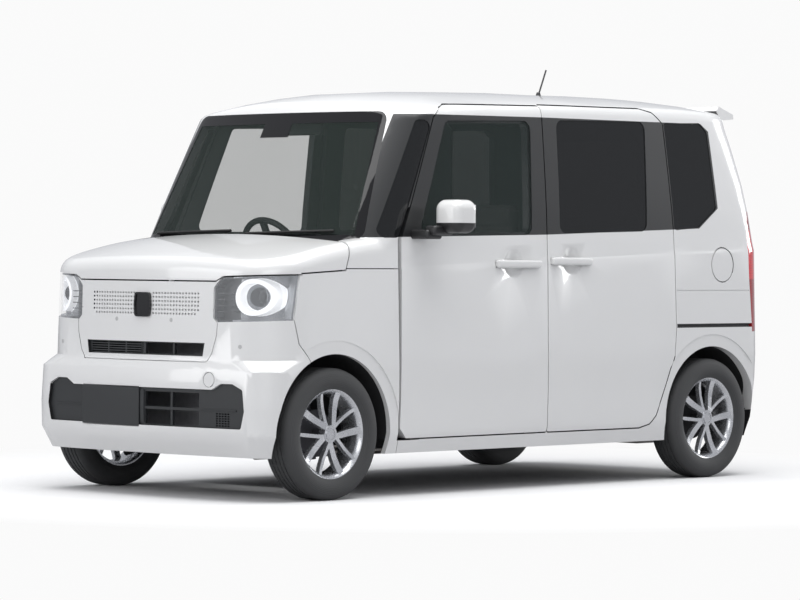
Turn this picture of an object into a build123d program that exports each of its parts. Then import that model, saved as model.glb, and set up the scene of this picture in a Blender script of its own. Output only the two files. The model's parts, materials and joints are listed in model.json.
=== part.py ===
# A tall kei-class wagon: two hinged front doors, two sliding rear doors and a lifting tailgate.
# Millimetres. X runs to the car's left, Y to its rear, Z up, and the road is at Z = 0.
import math
import os

from build123d import *

# Driving sizes.
LENGTH = 3395.0
WIDTH = 1475.0
WHEELBASE = 2520.0
TRACK = 1305.0
FRONT_AXLE_Y = -1252.5
TYRE_RADIUS = 278.5
TYRE_WIDTH = 155.0
ARCH_RADIUS = 337.0
WALL = 45.0
SKIN = 24.0
PANE = 5.0
PANE_DEPTH = 4.0
SHUT_GAP = 6.0
FIT = 0.4
SEAM = 3.0
ROOF_CROSS_RADIUS = 3000.0
BONNET_CROSS_RADIUS = 6000.0
ROOF_EDGE = 56.0
BONNET_EDGE = 70.0
KINGPIN_X = 580.0
KINGPIN_LEAN = 0.2
CLEAR_WALL = WALL + 7.0
DOOR_AXIS = (WIDTH / 2 - 20.0, -798.0)
DOOR_INNER = 600.0
TAILGATE_AXIS = (1500.0, 1760.0)
REAR_FLOOR_Z = 400.0
REAR_FLOOR_Y = 740.0
LID_CENTRE = (1346.0, 997.0)
LID_RADIUS = 78.0
RECESS = PANE_DEPTH + PANE
COVER = 8.0
ARCH_LIP = 56.0
LIP_DEPTH = 4.0
SCOOP_RADIUS = 116.0
SCOOP_DEPTH = 22.0

# Places that follow from them.
REAR_AXLE_Y = FRONT_AXLE_Y + WHEELBASE
HALF_WIDTH = WIDTH / 2
NOSE_Y = -LENGTH / 2
TAIL_Y = LENGTH / 2
WHEEL_X = TRACK / 2
FLOOR_Z = 235.0
FLOOR_THICKNESS = 30.0
BODY_BOTTOM = 185.0
SPLIT_Y = -858.0

# Plan outlines of the body: height, tilt in radians, side inset, nose inset, nose bow, nose corner,
# tail inset, tail bow, tail corner.
ROW_NAMES = ("z", "tilt", "side", "nose", "bow", "corner", "tail", "tail_bow", "tail_corner")
NOSE_ROWS = (
    (BODY_BOTTOM, 0.0, 24.0, 46.0, 40.0, 130.0, 56.0, 30.0, 120.0),
    (275.0, 0.0, 4.0, 3.0, 42.0, 125.0, 34.0, 30.0, 125.0),
    (425.0, 0.0216, 0.0, 0.0, 44.0, 127.0, 6.0, 30.0, 130.0),
    (560.0, 0.01, 0.0, 2.5, 48.0, 140.0, 0.0, 30.0, 130.0),
    (606.0, 0.01, 1.0, 22.0, 58.0, 262.0, 0.0, 30.0, 130.0),
    (1180.0, 0.0, 15.0, 34.0, 60.0, 255.0, 20.0, 30.0, 140.0),
)
CABIN_FRONT = 430.0
CABIN_ROWS = (
    (BODY_BOTTOM, 0.0, 24.0, CABIN_FRONT, 95.0, 190.0, 56.0, 30.0, 120.0),
    (275.0, 0.0, 4.0, CABIN_FRONT, 95.0, 190.0, 34.0, 30.0, 125.0),
    (425.0, 0.0216, 0.0, CABIN_FRONT, 95.0, 190.0, 6.0, 30.0, 130.0),
    (560.0, 0.01, 0.0, CABIN_FRONT, 95.0, 190.0, 0.0, 30.0, 130.0),
    (1001.0, 0.0404, 8.0, CABIN_FRONT, 95.0, 190.0, 2.0, 30.0, 135.0),
    (1012.0, 0.0404, 11.0, CABIN_FRONT, 95.0, 190.0, 3.0, 30.0, 135.0),
    (1102.0, 0.0, 13.0, 569.5, 95.0, 190.0, 8.0, 30.0, 140.0),
    (1243.0, 0.0, 19.5, 640.6, 95.0, 190.0, 26.0, 30.0, 160.0),
    (1373.0, 0.0, 28.5, 706.1, 95.0, 190.0, 46.0, 32.0, 185.0),
    (1540.0, 0.0, 42.0, 790.3, 95.0, 190.0, 88.0, 36.0, 220.0),
    (1640.0, 0.0, 51.0, 840.7, 95.0, 190.0, 112.0, 40.0, 250.0),
    (1860.0, 0.0, 73.0, 951.6, 95.0, 190.0, 168.0, 44.0, 260.0),
)
# Centre lines of the roof and the bonnet: place along the car, height at the middle.
ROOF_LINE = ((-1500, 1480), (-1000, 1645), (-817, 1702), (-489, 1756), (-165, 1772), (300, 1785),
             (870, 1790), (1309, 1783), (1600, 1752), (1900, 1700))
BONNET_LINE = ((-1800, 985), (-1665, 1012), (-1610, 1026), (-1500, 1054), (-1318, 1096),
               (-1107, 1130), (-1034, 1138), (-700, 1150))

# Outlines in the side view, as (along the car, height).
FRONT_DOOR = ((-856, 290), (-812, 248), (97, 250), (97, 1701), (-475, 1690), (-548, 1672),
              (-610, 1627), (-845, 1098))
SLIDING_DOOR = ((103, 250), (103, 1706), (800, 1712), (877, 1696), (944, 1647), (986, 1163),
                (1000, 695), (988, 574), (926, 440), (858, 304), (815, 266), (743, 250))
FRONT_WINDOW = ((-722, 1132), (-530, 1606), (6, 1622), (-14, 1137))
SLIDING_WINDOW = ((200, 1146), (207, 1631), (805, 1642), (786, 1161))
REAR_QUARTER = ((1000, 1168), (952, 1640), (1216, 1648), (1262, 1612), (1301, 1265), (1171, 1181))
FRONT_QUARTER = ((-968, 1118), (-700, 1606), (-640, 1606), (-868, 1118))
# Outlines in the front or rear view, as (across the car, height).
WINDSCREEN = ((-655, 1092), (-566, 1640), (566, 1640), (655, 1092))
GRILLE = ((-416, 918), (-403, 890), (-403, 766), (-330, 729), (330, 729), (403, 766), (403, 890),
          (416, 918))
HEADLAMP = ((410, 766), (410, 891), (424, 908), (458, 936), (760, 954), (760, 760), (632, 753),
            (429, 747))
TAILGATE = ((-634, 606), (-640, 1245), (-612, 1640), (-560, 1900), (560, 1900), (612, 1640),
            (640, 1245), (634, 606))
TAILGATE_WINDOW = ((-560, 1190), (-528, 1598), (528, 1598), (560, 1190))
LOWER_INTAKE = ((-593, 305), (-612, 380), (-600, 468), (-545, 492), (-480, 492), (-430, 466),
                (430, 466), (480, 492), (545, 492), (600, 468), (612, 380), (593, 305))
UPPER_SLOT = ((-356, 603), (-366, 659), (366, 659), (356, 603))
CENTRE_FRAME = ((-436, 800), (-436, 745), (-432, 690), (-408, 615), (-380, 578), (380, 578), (408, 615),
                (432, 690), (436, 745), (436, 800))
BADGE = ((-46, 764), (-51, 815), (-45, 868), (45, 868), (51, 815), (46, 764))
REAR_PLATE = ((-175, 698), (-175, 878), (175, 878), (175, 698))

# Rows of square holes in the nose panel, on each side of the badge: height, number of holes.
HOLE_ROWS = ((865, 16), (848, 16), (831, 16), (814, 16), (796, 16), (779, 15))
HOLE_START = 60.0
HOLE_PITCH = 17.6
HOLE_SIZE = 9.0
# Cells through the lower intake: across from, across to, low, high.
INTAKE_CELLS = ((30, 184, 311, 374), (196, 350, 311, 374), (30, 184, 386, 449), (196, 350, 386, 449))
# Cells through the upper slot on the car's left, and the louvres on its right.
SLOT_CELLS = ((8, 172, 608, 654), (182, 346, 608, 654))
LOUVRE_COLUMNS = ((-346, -238), (-230, -122), (-114, -6))
LOUVRE_HEIGHTS = (609, 619, 629, 639, 649)
# Door handles: from, to along the car, height of the bar, middle of the scoop behind it.
FRONT_HANDLE = (-247.0, 39.0, 997.0, -125.0)
SLIDING_HANDLE = (120.0, 388.0, 1010.0, 269.0)
# The two bars of one spoke pair, drawn in the wheel's face as (rearward, up).
NARROW_BAR = ((-26, 6), (-37, 57), (-62, 170), (-43, 175), (-18, 61), (-2, 14))
WIDE_BAR = ((2, 14), (10, 57), (27, 179), (62, 174), (40, 53), (30, 6))
# Face of the wheel from its middle to its rim: distance out, height of the face.
DISH = ((0, 52), (36, 54), (60, 50), (110, 45), (150, 47), (182, 56))


# Small helpers.
def rounded_face(plane, points, radius):
    face = make_face(plane * Polyline(*points, close=True)).face()
    if radius > 0:
        face = face.fillet_2d(radius, face.vertices())
    return face


def side_prism(points, radius=0.0, start=300.0, stop=1000.0, grow=0.0):
    """A side-view outline pushed out across the car, from start to stop."""
    face = rounded_face(Plane.YZ, points, radius)
    if grow:
        face = offset(face, grow).face()
    return Solid.extrude(face.moved(Location((start, 0, 0))), Vector(stop - start, 0, 0))


def front_prism(points, radius=0.0, start=-2000.0, stop=0.0, grow=0.0):
    """A front-view outline pushed along the car, from start to stop."""
    face = rounded_face(Plane.XZ, points, radius)
    if grow:
        face = offset(face, grow).face()
    return Solid.extrude(face.moved(Location((0, start, 0))), Vector(0, stop - start, 0))


def block(x0, x1, y0, y1, z0, z1):
    return Solid.make_box(x1 - x0, y1 - y0, z1 - z0).moved(Location((x0, y0, z0)))


def rod(start, stop, radius):
    """A round bar between two points."""
    run = Vector(*stop) - Vector(*start)
    plane = Plane(origin=Vector(*start), z_dir=run.normalized())
    return Solid.make_cylinder(radius, run.length, plane)


def ring(start, stop, outer, inner):
    return rod(start, stop, outer) - rod(start, stop, inner)


def groove(outline, width):
    """A narrow closed channel that follows a front-view outline."""
    outer = front_prism(outline, start=-2000, stop=-1400)
    return outer - front_prism(outline, start=-2000, stop=-1400, grow=-width)


def other_side(shape):
    return mirror(shape, about=Plane.YZ)


def joined(shapes):
    result = shapes[0]
    for shape in shapes[1:]:
        result = result + shape
    return result


def largest(shape):
    return max(shape.solids(), key=lambda solid: solid.volume)


def softened(solid, radius):
    """All edges of a plain block rounded."""
    return solid.fillet(radius, solid.edges())


# The outer form.
def plan_outline(row, inset):
    """One closed outline of the body in plan, drawn in by an inset."""
    part = dict(zip(ROW_NAMES, row))
    half = HALF_WIDTH - part["side"] - inset
    front = NOSE_Y + part["nose"] + inset
    rear = TAIL_Y - part["tail"] - inset
    front_left = (-half, front + part["bow"])
    front_right = (half, front + part["bow"])
    rear_left = (-half, rear - part["tail_bow"])
    rear_right = (half, rear - part["tail_bow"])
    edges = [
        ThreePointArc(front_left, (0, front), front_right),
        Line(front_right, rear_right),
        ThreePointArc(rear_right, (0, rear), rear_left),
        Line(rear_left, front_left),
    ]
    face = make_face(edges).face()
    ends = face.vertices().sort_by(Axis.Y)
    face = face.fillet_2d(max(part["corner"] - inset, 20.0), ends[:2])
    ends = face.vertices().sort_by(Axis.Y)
    face = face.fillet_2d(max(part["tail_corner"] - inset, 20.0), ends[-2:])
    tilt = part["tilt"]
    plane = Plane(origin=(0, 0, part["z"]), x_dir=(1, 0, 0), z_dir=(0, -math.sin(tilt), math.cos(tilt)))
    return (plane * face).face().outer_wire()


def crowned_block(line, cross_radius, inset):
    """A long block whose top is domed across the car and follows a line along it."""
    wires = []
    side = 900.0
    for place, crown in line:
        top = crown - inset
        low = top - side * side / (2 * cross_radius)
        arc = ThreePointArc((-side, low), (0, top), (side, low))
        edges = [arc, Line((side, low), (side, 100)), Line((side, 100), (-side, 100)),
                 Line((-side, 100), (-side, low))]
        plane = Plane(origin=(0, place, 0), x_dir=(1, 0, 0), z_dir=(0, -1, 0))
        wires.append((plane * make_face(edges)).face().outer_wire())
    return Solid.make_loft(wires)


def rim_edges(solid, low):
    """The edges where the domed top meets the walls."""
    tops = [face for face in solid.faces() if face.center().Z > low and face.normal_at().Z > 0.7]
    found = []
    for top in tops:
        for edge in top.outer_wire().edges():
            if (edge @ 0.5).Z > low:
                found.append(edge)
    return found


def rounded_rims(part, rims, radius):
    """The rims rounded with the wanted radius, or the nearest one that closes. Deep forms stay sharp."""
    if radius < 20.0:
        return part
    for change in (0.0, -1.5, 1.5, -3.0, 3.0, -5.0, 5.0, -8.0, -12.0):
        try:
            return part.fillet(max(radius + change, 6.0), rims)
        except ValueError:
            continue
    return part


def nose_form(inset):
    """Everything ahead of the front doors, filled in, with its domed bonnet."""
    walls = Solid.make_loft([plan_outline(row, inset) for row in NOSE_ROWS], ruled=True)
    domed = walls & crowned_block(BONNET_LINE, BONNET_CROSS_RADIUS, inset)
    part = domed.solids()[0]
    rims = [edge for edge in rim_edges(part, 850.0) if (edge @ 0.5).Y < 1200]
    part = rounded_rims(part, rims, max(BONNET_EDGE - inset, 12.0))
    return (part & block(-900, 900, -1800, SPLIT_Y, 0, 1400)).solids()[0]


def cabin_form(inset):
    """Everything from the windscreen back, filled in, with its domed roof."""
    walls = Solid.make_loft([plan_outline(row, inset) for row in CABIN_ROWS], ruled=True)
    domed = (walls & crowned_block(ROOF_LINE, ROOF_CROSS_RADIUS, inset)).solids()[0]
    rims = rim_edges(domed, 1500.0)
    domed = rounded_rims(domed, rims, max(ROOF_EDGE - inset, 12.0))
    lower = domed & block(-900, 900, SPLIT_Y, 1800, 0, 2000)
    upper = domed & block(-900, 900, -1800, SPLIT_Y, 1050, 2000)
    return (lower + upper).solids()[0]


class Forms:
    """Keeps each inset form once it has been made."""

    def __init__(self):
        self.made = {}

    def nose(self, inset):
        return self.fetch("nose", inset, nose_form)

    def cabin(self, inset):
        return self.fetch("cabin", inset, cabin_form)

    def fetch(self, name, inset, maker):
        key = (name, inset)
        if key not in self.made:
            self.made[key] = maker(inset)
        return self.made[key]


FORMS = Forms()


# Cutting shapes.
def both_sides(shape):
    return [shape, other_side(shape)]


def cut(shape, tools):
    """A shape with all its cutting shapes taken away in one step."""
    left = shape.cut(*[solid for tool in tools for solid in tool.solids()])
    return Compound(left.solids())


def wall_of(form, outer, inner):
    return form(outer) - form(inner)


def arch_tool(axle_y):
    return rod((-900, axle_y, TYRE_RADIUS), (900, axle_y, TYRE_RADIUS), ARCH_RADIUS)


def arch_lips(axle_y):
    """What is shaved off around an arch to leave its flat lip, on both sides."""
    start = HALF_WIDTH - LIP_DEPTH
    centre = (start, axle_y, TYRE_RADIUS)
    lip = ring(centre, (900, axle_y, TYRE_RADIUS), ARCH_RADIUS + ARCH_LIP, ARCH_RADIUS - 10)
    return both_sides(lip)


def handle_scoop(handle):
    """The hollow behind a door handle."""
    middle = Location((HALF_WIDTH - 9 + SCOOP_RADIUS - SCOOP_DEPTH, handle[3], handle[2] + 6))
    return Solid.make_sphere(SCOOP_RADIUS, angle1=-90).moved(middle)


def handle_room(handle):
    """The pocket that a door handle's ends sit in, a little wider than the handle."""
    start, stop, height, _ = handle
    return block(HALF_WIDTH - 14 - FIT, 800, start - FIT, stop + FIT, height - 17 - FIT, height + 17 + FIT)


def handle_bar(handle):
    """A door handle, let into the door at both of its ends."""
    start, stop, height, _ = handle
    return softened(block(HALF_WIDTH - 14, HALF_WIDTH + 13, start, stop, height - 17, height + 17), 10)


def wheel_wells():
    """The room that the wheels need on both sides of both axles."""
    wells = []
    for axle_y, inner in ((FRONT_AXLE_Y, 408.0), (REAR_AXLE_Y, 500.0)):
        for side in (-1, 1):
            start = (side * inner, axle_y, TYRE_RADIUS)
            wells.append(rod(start, (side * 900, axle_y, TYRE_RADIUS), ARCH_RADIUS))
    return wells


def door_relief():
    """The room that the front edge of a front door sweeps as it swings."""
    x, y = DOOR_AXIS
    reach = math.hypot(WALL - HALF_WIDTH + x, FRONT_DOOR[0][0] - y) + SHUT_GAP + 1.5
    low = Solid.make_cylinder(reach, 1098 - 240, Plane(origin=(x, y, 240)))
    high = Solid.make_cone(reach, 12.0, 140, Plane(origin=(x, y, 1098)))
    return low + high


def door_sweep():
    """The round room that a front door's rear edge must stay inside as it swings."""
    x, y = DOOR_AXIS
    return Solid.make_cylinder(FRONT_DOOR[2][0] + 0.5 - y, 1900, Plane(origin=(x, y, 0)))


def bonnet_zone():
    """The room above the bonnet's seam, ahead of the cowl."""
    seam = ((-900, 958), (-458, 940), (-420, 921), (420, 921), (458, 940), (900, 958),
            (900, 1300), (-900, 1300))
    front = front_prism(seam, start=-2000, stop=-1445)
    side = ((-1446, 956), (-1190, 970), (-1150, 1086), (-1150, 1300), (-1446, 1300))
    zone = front + side_prism(side, start=-900, stop=900)
    edge = ThreePointArc((-800, -1146), (0, -1192), (800, -1146))
    lines = Polyline((800, -1146), (800, -700), (-800, -700), (-800, -1146))
    behind = Solid.extrude(make_face([edge, lines]).face(), Vector(0, 0, 1500))
    return zone - behind


def tailgate_zone(grow=0.0):
    edge = 1486.0 - grow
    side = ((edge, 1900), (edge, 1690), (1420 - 1.3 * grow, 1600), (1540 - grow, 606 - grow),
            (1900, 606 - grow), (1900, 1900))
    across = front_prism(TAILGATE, start=1300, stop=1900, grow=grow)
    return across & side_prism(side, start=-900, stop=900)


BUMPER_SIDE = ((-2000, 100), (-1400, 100), (-1400, 585), (-1461, 657), (-1482, 762), (-1482, 925),
               (-2000, 925))
FENDER_SIDE = ((-1396, 100), (-1396, 585), (-1457, 658), (-1478, 763), (-1440, 1200), (-862, 1200),
               (-862, 100))
LAMP_SIDE = ((-2000, 700), (-1480, 755), (-1449, 960), (-2000, 990))
REAR_BUMPER_SIDE = ((1400, 100), (1900, 100), (1900, 598), (1500, 598), (1500, 676), (1400, 676))
REAR_CORNER = ((646, 500), (900, 500), (900, 676), (646, 676))
TAIL_LAMP = ((646, 682), (900, 682), (900, 1250), (646, 1250))
TAIL_LAMP_SIDE = ((1572, 682), (1900, 682), (1900, 1250), (1556, 1250), (1536, 1160), (1548, 926))


# Body panels.
def rear_bumper_zone():
    low = side_prism(REAR_BUMPER_SIDE, start=-900, stop=900) & block(-900, 900, 1500, 1900, 0, 598)
    corners = both_sides(front_prism(REAR_CORNER, start=1548, stop=1900))
    return joined([low] + corners)


def tail_lamp_zone():
    return front_prism(TAIL_LAMP, start=1400, stop=1900) & side_prism(TAIL_LAMP_SIDE, start=300, stop=900)


def windscreen_parts():
    """The windscreen and the step that it sits in."""
    room = front_prism(WINDSCREEN, 40, start=-1300, stop=-600, grow=14)
    opening = front_prism(WINDSCREEN, 40, start=-1300, stop=-600)
    pane = (FORMS.cabin(0) & room) - FORMS.cabin(PANE_DEPTH)
    return largest(pane), opening


def windscreen_point(across, height, out):
    """A point on the middle of the windscreen's height lines, moved out from the glass."""
    low, high = CABIN_ROWS[6], CABIN_ROWS[9]
    share = (height - low[0]) / (high[0] - low[0])
    nose = low[3] + (high[3] - low[3]) * share
    half = HALF_WIDTH - low[2] - (high[2] - low[2]) * share
    bow = low[4] * (across / half) ** 2
    return (across, NOSE_Y + nose + bow - 0.89 * out, height + 0.45 * out)


def pane_set(outline, radius):
    """The pane, the room it takes up to the outer face, and the hole behind it."""
    grown = side_prism(outline, radius, start=500, grow=12)
    room = grown - FORMS.cabin(RECESS)
    pane = grown & wall_of(FORMS.cabin, PANE_DEPTH, RECESS)
    hole = side_prism(outline, radius, start=400)
    return largest(pane), room, hole


def door_pieces(outline, window, handle):
    """One side door on the car's left, and its glass."""
    zone = side_prism(outline, 10, start=DOOR_INNER)
    if outline is FRONT_DOOR:
        zone = zone & door_sweep()
    wall = largest(wall_of(FORMS.cabin, 0, WALL) & zone)
    pane, room, hole = pane_set(window, 28)
    tools = [room, hole, handle_scoop(handle), handle_room(handle)]
    if outline is SLIDING_DOOR:
        tools.append(arch_lips(REAR_AXLE_Y)[0])
    return largest(cut(wall, tools)), pane


def body_shell(windscreen, quarters):
    """Roof, pillars, quarter panels and sills in one piece."""
    shell = wall_of(FORMS.cabin, 0, WALL)
    base = ((-1181, 976), (-1143, 1084), (-1143, 1200), (SPLIT_Y, 1200), (SPLIT_Y, 976))
    cheek = wall_of(FORMS.nose, 0, SKIN) & side_prism(base, start=640, stop=900)
    shell = joined([shell] + both_sides(cheek))
    tools = []
    for outline in (FRONT_DOOR, SLIDING_DOOR):
        tools += both_sides(side_prism(outline, 10, start=470, grow=SHUT_GAP))
    tools += both_sides(door_relief())
    tools.append(tailgate_zone(SHUT_GAP))
    tools += windscreen
    for pane, room, hole in quarters:
        tools += both_sides(room) + both_sides(hole)
    tools += [arch_tool(REAR_AXLE_Y), rear_bumper_zone() - FORMS.cabin(SKIN)]
    tools += arch_lips(REAR_AXLE_Y) + both_sides(rail_groove())
    tools += both_sides(block(600, 900, 1008, 1545, 876, 879) - FORMS.cabin(PANE_DEPTH))
    tools += both_sides(tail_lamp_zone() - FORMS.cabin(SKIN))
    x, y = TAILGATE_AXIS
    tools.append(rod((-560, x, y), (560, x, y), 27.0))
    tools.append(lid_well())
    shell = largest(cut(shell, tools))
    return largest(joined([shell] + both_sides(pillar())))


def quarter_sets():
    """Pane, room and hole of the fixed quarter windows, kept clear of the sliding door."""
    clear = side_prism(SLIDING_DOOR, 10, start=390, grow=SHUT_GAP + 6)
    sets = []
    for outline in (REAR_QUARTER, FRONT_QUARTER):
        sets.append([largest(shape - clear) for shape in pane_set(outline, 18)])
    return sets


def rail_groove():
    """The slot in the rear quarter that the sliding door's roller runs in."""
    return block(HALF_WIDTH - 25, 900, 1008, 1574, 704, 722)


def slide_rails():
    rail = block(HALF_WIDTH - 25, HALF_WIDTH - 12, 1010, 1560, 704, 722)
    slot = block(HALF_WIDTH - 18, HALF_WIDTH, 1000, 1600, 710, 716)
    return both_sides(rail - slot)


def pillar():
    """The post between the front and the sliding door, just inside both of them."""
    room = block(300, 900, 46, 154, BODY_BOTTOM + 5, 1760)
    post = (room & FORMS.cabin(CLEAR_WALL)) - FORMS.cabin(CLEAR_WALL).moved(Location((-30, 0, 0)))
    foot = block(HALF_WIDTH - 90, HALF_WIDTH - 30, 46, 154, 190, 240)
    return joined([post, foot])


def lid_well():
    """A round pocket in the left rear quarter behind the fuel lid."""
    y, z = LID_CENTRE
    return rod((HALF_WIDTH - 34, y, z), (900, y, z), LID_RADIUS + 5.5)


def front_fenders():
    wall = wall_of(FORMS.nose, 0, SKIN) & side_prism(FENDER_SIDE, start=600, stop=900)
    lamp = front_prism(HEADLAMP, start=-2000, stop=-1300) & side_prism(LAMP_SIDE, start=300, stop=900)
    zone = bonnet_zone()
    tools = [arch_tool(FRONT_AXLE_Y), lamp, zone, zone.moved(Location((0, SHUT_GAP, -SHUT_GAP)))]
    tools += arch_lips(FRONT_AXLE_Y)
    tools += [door_relief(), side_prism(((-1190, 972), (-1100, 1200), (-800, 1200), (-800, 972)), start=600)]
    left = largest(cut(wall, tools))
    return both_sides(left)


def front_bumper():
    wall = wall_of(FORMS.nose, 0, SKIN) & side_prism(BUMPER_SIDE, start=-900, stop=900)
    tools = [arch_tool(FRONT_AXLE_Y), front_prism(GRILLE, start=-2000, stop=-1300)]
    tools += both_sides(front_prism(HEADLAMP, start=-2000, stop=-1300))
    tools += [block(-364, 2, -2000, -1680, 297, 469), front_prism(LOWER_INTAKE, 12, start=-2000, stop=-1400)]
    tools.append(front_prism(UPPER_SLOT, start=-2000, stop=-1400))
    tools.append(groove(CENTRE_FRAME, SEAM) - FORMS.nose(COVER))
    tools += [ring((414, -1900, 507), (414, -1600, 507), 32, 29) - FORMS.nose(COVER)]
    tools += arch_lips(FRONT_AXLE_Y)
    tools.append(bonnet_zone().moved(Location((0, 0, -SHUT_GAP))))
    return [largest(cut(wall, tools))]


def lamp_zone(grow=0.0):
    across = front_prism(HEADLAMP, start=-2000, stop=-1300, grow=grow)
    room = across & side_prism(LAMP_SIDE, start=300, stop=900, grow=grow)
    zone = bonnet_zone()
    return room - zone.moved(Location((0, 0, -SHUT_GAP))) - zone.moved(Location((0, SHUT_GAP, -SHUT_GAP)))


def headlamps():
    """The clear covers, and behind each one a tray with its ring and two projectors."""
    zone = lamp_zone()
    cover = largest(zone & wall_of(FORMS.nose, 0, COVER))
    deep = FORMS.nose(60)
    tray = (zone & FORMS.nose(COVER + 1)) - deep
    hollow = (lamp_zone(-COVER) & FORMS.nose(0)) - deep.moved(Location((COVER, -COVER, 0)))
    inside = FORMS.nose(16)
    bowl = ring((590, -1660, 853), (590, -1500, 853), 77, 58) & inside & zone
    steps = ((-1562, 18), (-1556, 28), (-1548, 34))
    lens = [rod((606, front, 855), (606, -1500, 855), radius) for front, radius in steps]
    small = rod((676, -1470, 864), (676, -1430, 864), 16)
    ribs = [block(418, 500, -1640, -1500, z, z + 4) for z in (790, 815, 840, 865)]
    filling = [bowl] + lens + [small] + [shape & inside & zone for shape in ribs]
    unit = largest(joined([tray - hollow] + filling) - deep)
    return both_sides(cover), both_sides(unit)


def grille_panel():
    """The nose panel with its rows of square holes."""
    panel = wall_of(FORMS.nose, 0, COVER) & front_prism(GRILLE, start=-2000, stop=-1400)
    panel = largest(panel & block(-900, 900, -2000, -1400, 0, 915))
    half = HOLE_SIZE / 2
    holes = [block(-900, 0, -1800, -1300, 0, 1000)]
    for height, count in HOLE_ROWS:
        for index in range(count):
            x = HOLE_START + index * HOLE_PITCH
            holes.append(block(x - half, x + half, -1800, -1500, height - half + 0.5, height + half - 0.5))
    left = largest(cut(panel, holes))
    return [largest(left + other_side(left))]


def nose_badge():
    """A blank badge: a flat plate with a raised rim, seated on the nose panel."""
    plate = front_prism(BADGE, 14, start=NOSE_Y + 21, stop=NOSE_Y + 40)
    rim = front_prism(BADGE, 14, start=NOSE_Y + 16, stop=NOSE_Y + 40)
    rim = rim - front_prism(BADGE, 14, start=NOSE_Y, stop=NOSE_Y + 60, grow=-8)
    return [largest((plate + rim) - FORMS.nose(0).moved(Location((0, -FIT, 0))))]


def cells(rows):
    return [block(x0, x1, -2000, -1400, z0, z1) for x0, x1, z0, z1 in rows]


def lower_grille():
    """The dark intake with its ledges, cells and mesh, the louvred slot and the blank plate."""
    layer = wall_of(FORMS.nose, 12, SKIN)
    panel = layer & front_prism(LOWER_INTAKE, 12, start=-2000, stop=-1400)
    ledge = wall_of(FORMS.nose, COVER, 12)
    ledges = [ledge & block(x0, x1, -2000, -1400, 377, 383) for x0, x1 in ((-560, -370), (352, 560))]
    ledges.append(ledge & block(2, 24, -2000, -1400, 318, 455))
    panel = joined([largest(panel)] + ledges)
    tools = cells(INTAKE_CELLS)
    tools += cells([(-x1, -x0, z0, z1) for x0, x1, z0, z1 in INTAKE_CELLS])
    for column in range(5):
        for row in range(6):
            x = 446 + 16 * column
            z = 313 + 10 * row
            tools.append(block(x, x + 11, -2000, -1400, z, z + 6))
    panel = largest(cut(panel, tools))
    slot = largest(layer & front_prism(UPPER_SLOT, start=-2000, stop=-1400))
    louvres = [(x0, x1, z, z + 5) for x0, x1 in LOUVRE_COLUMNS for z in LOUVRE_HEIGHTS]
    slot = largest(cut(slot, cells(SLOT_CELLS) + cells(louvres)))
    plate = softened(block(-360, -2, NOSE_Y + 4, NOSE_Y + 12.5, 301, 465), 2)
    return [panel, slot, largest(plate - FORMS.nose(12))]


def bonnet():
    return [largest(wall_of(FORMS.nose, 0, SKIN) & bonnet_zone())]


def cowl():
    """The recessed strip between the bonnet and the windscreen."""
    layer = wall_of(FORMS.nose, 16, 32) & block(-640, 640, -1300, SPLIT_Y, 1000, 1300)
    edge = ThreePointArc((-800, -1146), (0, -1192), (800, -1146)).moved(Location((0, SHUT_GAP + 3, 0)))
    lines = Polyline((800, -1137), (800, -700), (-800, -700), (-800, -1137))
    behind = Solid.extrude(make_face([edge, lines]).face(), Vector(0, 0, 1500))
    return [largest((layer & behind) - FORMS.cabin(0))]


def tailgate():
    wall = wall_of(FORMS.cabin, 0, WALL) & tailgate_zone()
    gate = largest(wall)
    lip = ((1520, 1730), (1540, 1752), (1652, 1716), (1655, 1694), (1560, 1686))
    gate = gate + side_prism(lip, 6, start=-545, stop=545)
    grown = front_prism(TAILGATE_WINDOW, 40, start=1300, stop=1900, grow=14)
    pane = largest(grown & wall_of(FORMS.cabin, PANE_DEPTH, RECESS))
    tools = [grown - FORMS.cabin(RECESS) & block(-900, 900, 1500, 1900, 0, 1684)]
    tools.append(front_prism(TAILGATE_WINDOW, 40, start=1300, stop=1900))
    tools.append(front_prism(REAR_PLATE, 12, start=1400, stop=1900) - FORMS.cabin(RECESS))
    tools.append(block(-150, 150, 1660, 1900, 884, 906))
    plate = front_prism(REAR_PLATE, 12, start=1400, stop=1900, grow=-8)
    plate = plate & wall_of(FORMS.cabin, PANE_DEPTH, RECESS)
    return [largest(cut(gate, tools))], [pane], [largest(plate)]


def fuel_lid():
    y, z = LID_CENTRE
    disc = rod((HALF_WIDTH - 60, y, z), (900, y, z), LID_RADIUS) & FORMS.cabin(0)
    return [largest(disc - FORMS.cabin(PANE_DEPTH))]


# Wheels and running gear.
def turned(profile, x, y):
    """A wheel piece: a profile of (radius, along the axle), turned about the axle."""
    face = make_face(Plane.XZ * Polyline(*[(across, out) for out, across in profile], close=True)).face()
    body = Solid.revolve(face, 360, Axis((0, 0, 0), (1, 0, 0)))
    return body.moved(Location((x, y, TYRE_RADIUS)))


def spoke_pair():
    """Two tapered bars, one narrow and one wide, trimmed to the dished face."""
    back = [(reach, face - 20) for reach, face in reversed(DISH)]
    dish = turned(DISH + tuple(back), 0, 0).moved(Location((0, 0, -TYRE_RADIUS)))
    bars = []
    for outline in (NARROW_BAR, WIDE_BAR):
        foot = make_face(Plane.YZ * Polyline(*outline, close=True)).face()
        crest = offset(foot, -3.0).face().moved(Location((62, 0, 0)))
        ends = [foot.moved(Location((20, 0, 0))).outer_wire(), crest.outer_wire()]
        bars.append(Solid.make_loft(ends, ruled=True))
    return [largest(bar & dish) for bar in bars]


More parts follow.
